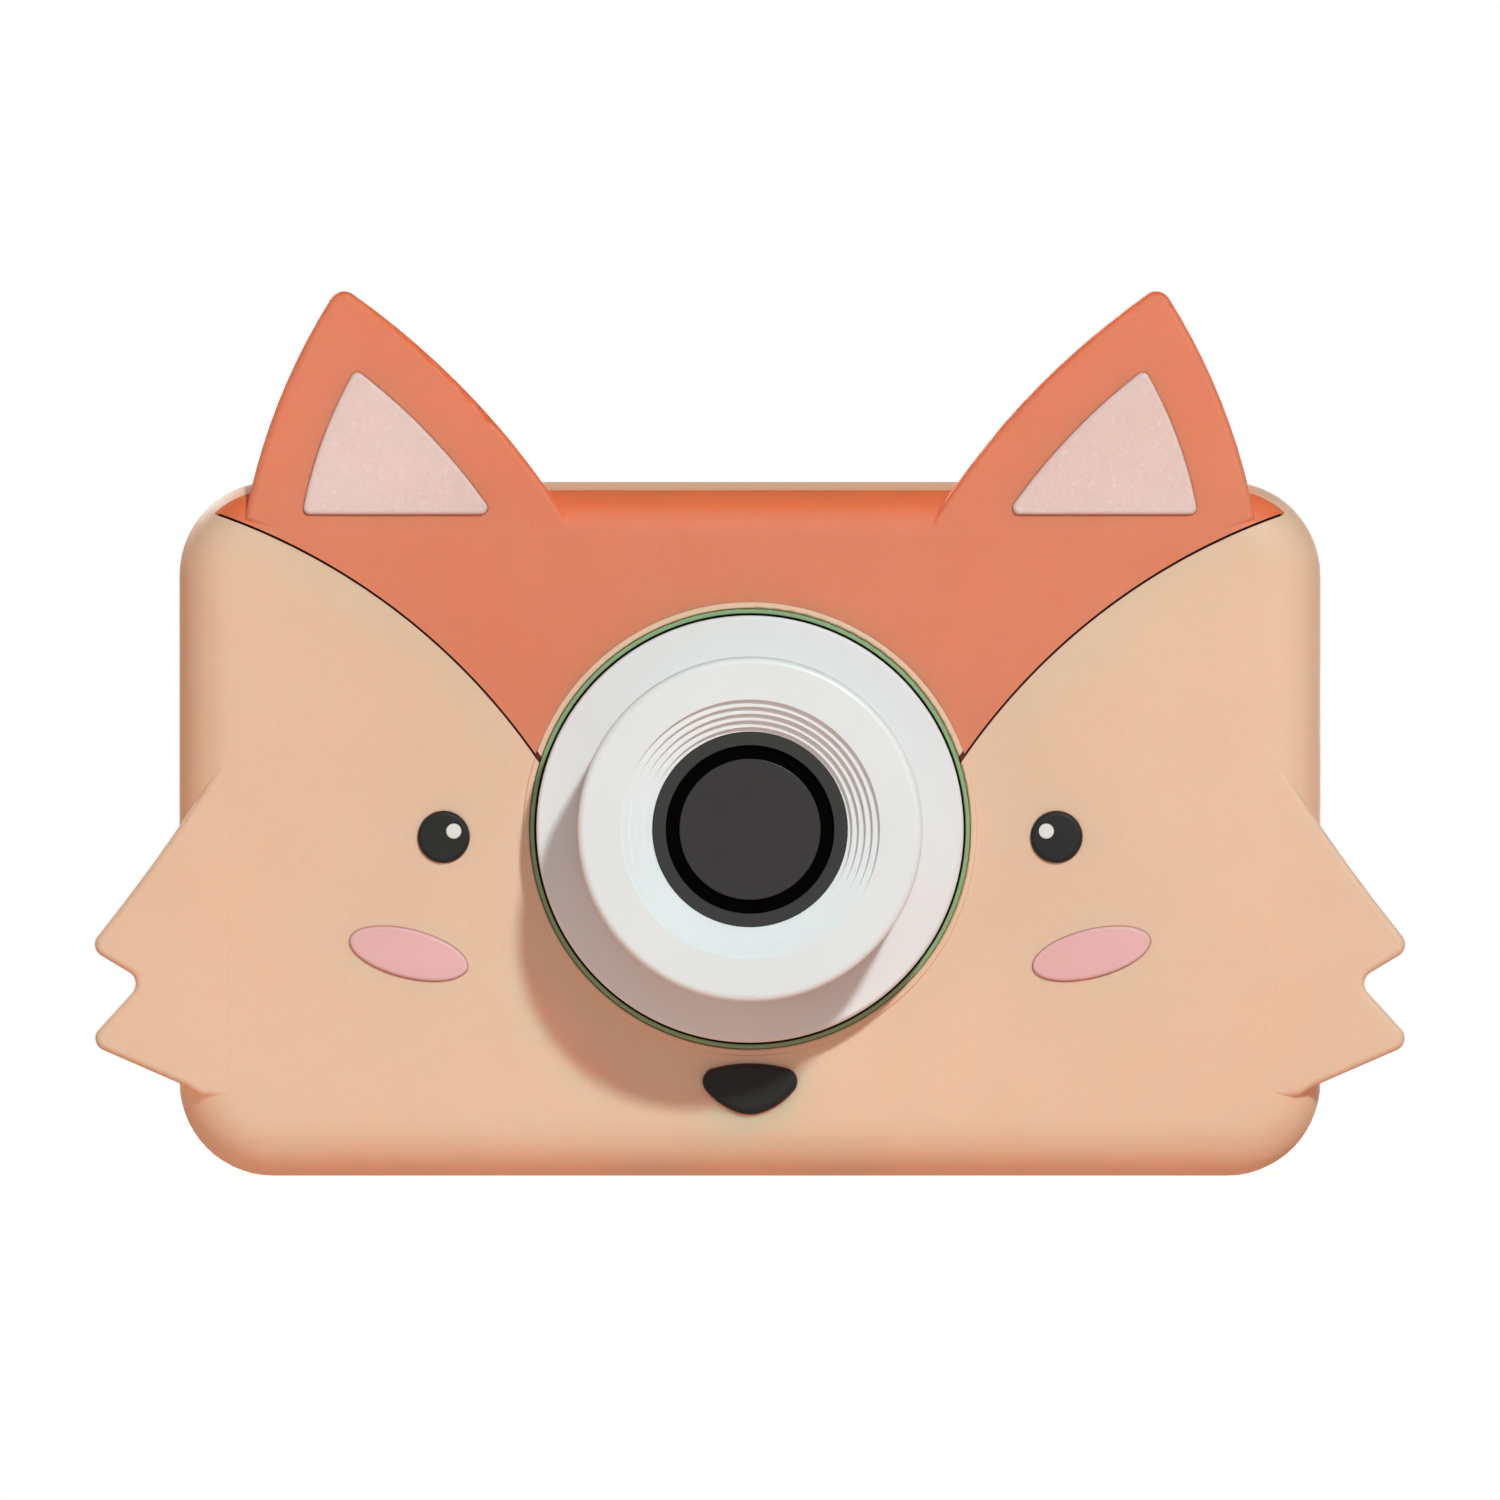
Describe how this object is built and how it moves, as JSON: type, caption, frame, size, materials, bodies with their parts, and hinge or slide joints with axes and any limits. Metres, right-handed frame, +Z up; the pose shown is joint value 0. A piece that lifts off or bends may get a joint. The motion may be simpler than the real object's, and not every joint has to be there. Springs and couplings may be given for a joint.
{
  "type": "kids digital camera",
  "caption": "Compact toy digital camera in a soft animal-face sleeve with ears and cheek fur, with a round lens barrel, rear screen, press keys and a hinged port door.",
  "frame": {"origin": "on the resting plane under the sleeve, centred in width and in overall depth including the lens barrel", "axes": "+Z up, the lens looks along -Y, +X to the right of somebody looking at the face"},
  "size_m": [0.1146, 0.042, 0.0774],
  "materials": {
    "silicone_tan": "soft matt silicone",
    "silicone_orange": "soft matt silicone",
    "silicone_pink": "soft matt silicone",
    "silicone_blush": "soft matt silicone",
    "silicone_black": "soft matt silicone",
    "silicone_white": "soft matt silicone",
    "green_plastic": "fine satin moulding",
    "white_plastic": "satin moulding",
    "dark_plastic": "fine satin moulding",
    "black_rubber": "matt",
    "smoked_window": "polished, tinted",
    "clear_glass": "polished",
    "screen": "polished, tinted",
    "lcd_glass": "polished",
    "board_green": "solder mask",
    "chip_black": "moulded",
    "cell_pouch": "laminated pouch",
    "steel": "zinc plated",
    "socket_steel": "tin plated",
    "flex_amber": "polyimide film",
    "lead_red": "insulation",
    "light_clear": "frosted clear"
  },
  "bodies": {
    "camera": {"silicone_sleeve": "silicone_tan", "forehead_panel": "silicone_orange", "inner_ear_left": "silicone_pink", "inner_ear_right": "silicone_pink", "cheek_left": "silicone_blush", "cheek_right": "silicone_blush", "eye_left": "silicone_black", "eye_right": "silicone_black", "eye_glint_left": "silicone_white", "eye_glint_right": "silicone_white", "nose": "silicone_black", "front_housing": "green_plastic", "rear_housing": "green_plastic", "lens_trim_ring": "white_plastic", "lens_barrel": "white_plastic", "lens_bezel": "dark_plastic", "lens_gasket": "black_rubber", "lens_window": "smoked_window", "objective_lens": "clear_glass", "lens_holder": "chip_black", "camera_board": "board_green", "camera_flex": "flex_amber", "main_board": "board_green", "processor": "chip_black", "tact_switches": "chip_black", "battery": "cell_pouch", "battery_connector": "white_plastic", "battery_leads": "lead_red", "lcd_module": "lcd_glass", "lcd_flex": "flex_amber", "screen_window": "screen", "speaker": "chip_black", "charge_light": "light_clear", "selfie_bezel": "white_plastic", "selfie_window": "clear_glass", "selfie_module": "chip_black", "usb_socket": "socket_steel", "card_socket": "socket_steel", "port_door_pin": "steel", "lanyard_pin": "steel", "housing_screws": "steel", "barrel_screws": "steel", "board_screws": "steel"},
    "up_button": {"up_button": "white_plastic"},
    "ok_button": {"ok_button": "white_plastic"},
    "down_button": {"down_button": "white_plastic"},
    "mode_button": {"mode_button": "white_plastic"},
    "play_button": {"play_button": "white_plastic"},
    "shutter_button": {"shutter_button": "white_plastic"},
    "power_button": {"power_button": "white_plastic"},
    "port_door": {"port_door": "green_plastic"}
  },
  "joints": [
    {"name": "up_press", "type": "slide", "parent": "camera", "child": "up_button", "axis": [0, -1, 0], "range_m": [0, 0.0005], "stiffness_N_per_m": 1500},
    {"name": "ok_press", "type": "slide", "parent": "camera", "child": "ok_button", "axis": [0, -1, 0], "range_m": [0, 0.0005], "stiffness_N_per_m": 1500},
    {"name": "down_press", "type": "slide", "parent": "camera", "child": "down_button", "axis": [0, -1, 0], "range_m": [0, 0.0005], "stiffness_N_per_m": 1500},
    {"name": "mode_press", "type": "slide", "parent": "camera", "child": "mode_button", "axis": [0, -1, 0], "range_m": [0, 0.0005], "stiffness_N_per_m": 1500},
    {"name": "play_press", "type": "slide", "parent": "camera", "child": "play_button", "axis": [0, -1, 0], "range_m": [0, 0.0005], "stiffness_N_per_m": 1500},
    {"name": "shutter_press", "type": "slide", "parent": "camera", "child": "shutter_button", "axis": [0, 0, -1], "range_m": [0, 0.0008], "stiffness_N_per_m": 1500},
    {"name": "power_press", "type": "slide", "parent": "camera", "child": "power_button", "axis": [0, 0, -1], "range_m": [0, 0.0006], "stiffness_N_per_m": 1500},
    {"name": "port_door_hinge", "type": "hinge", "parent": "camera", "child": "port_door", "pos_m": [0, 0.0077, 0.00285], "axis": [-1, 0, 0], "range_deg": [0, 105]}
  ]
}
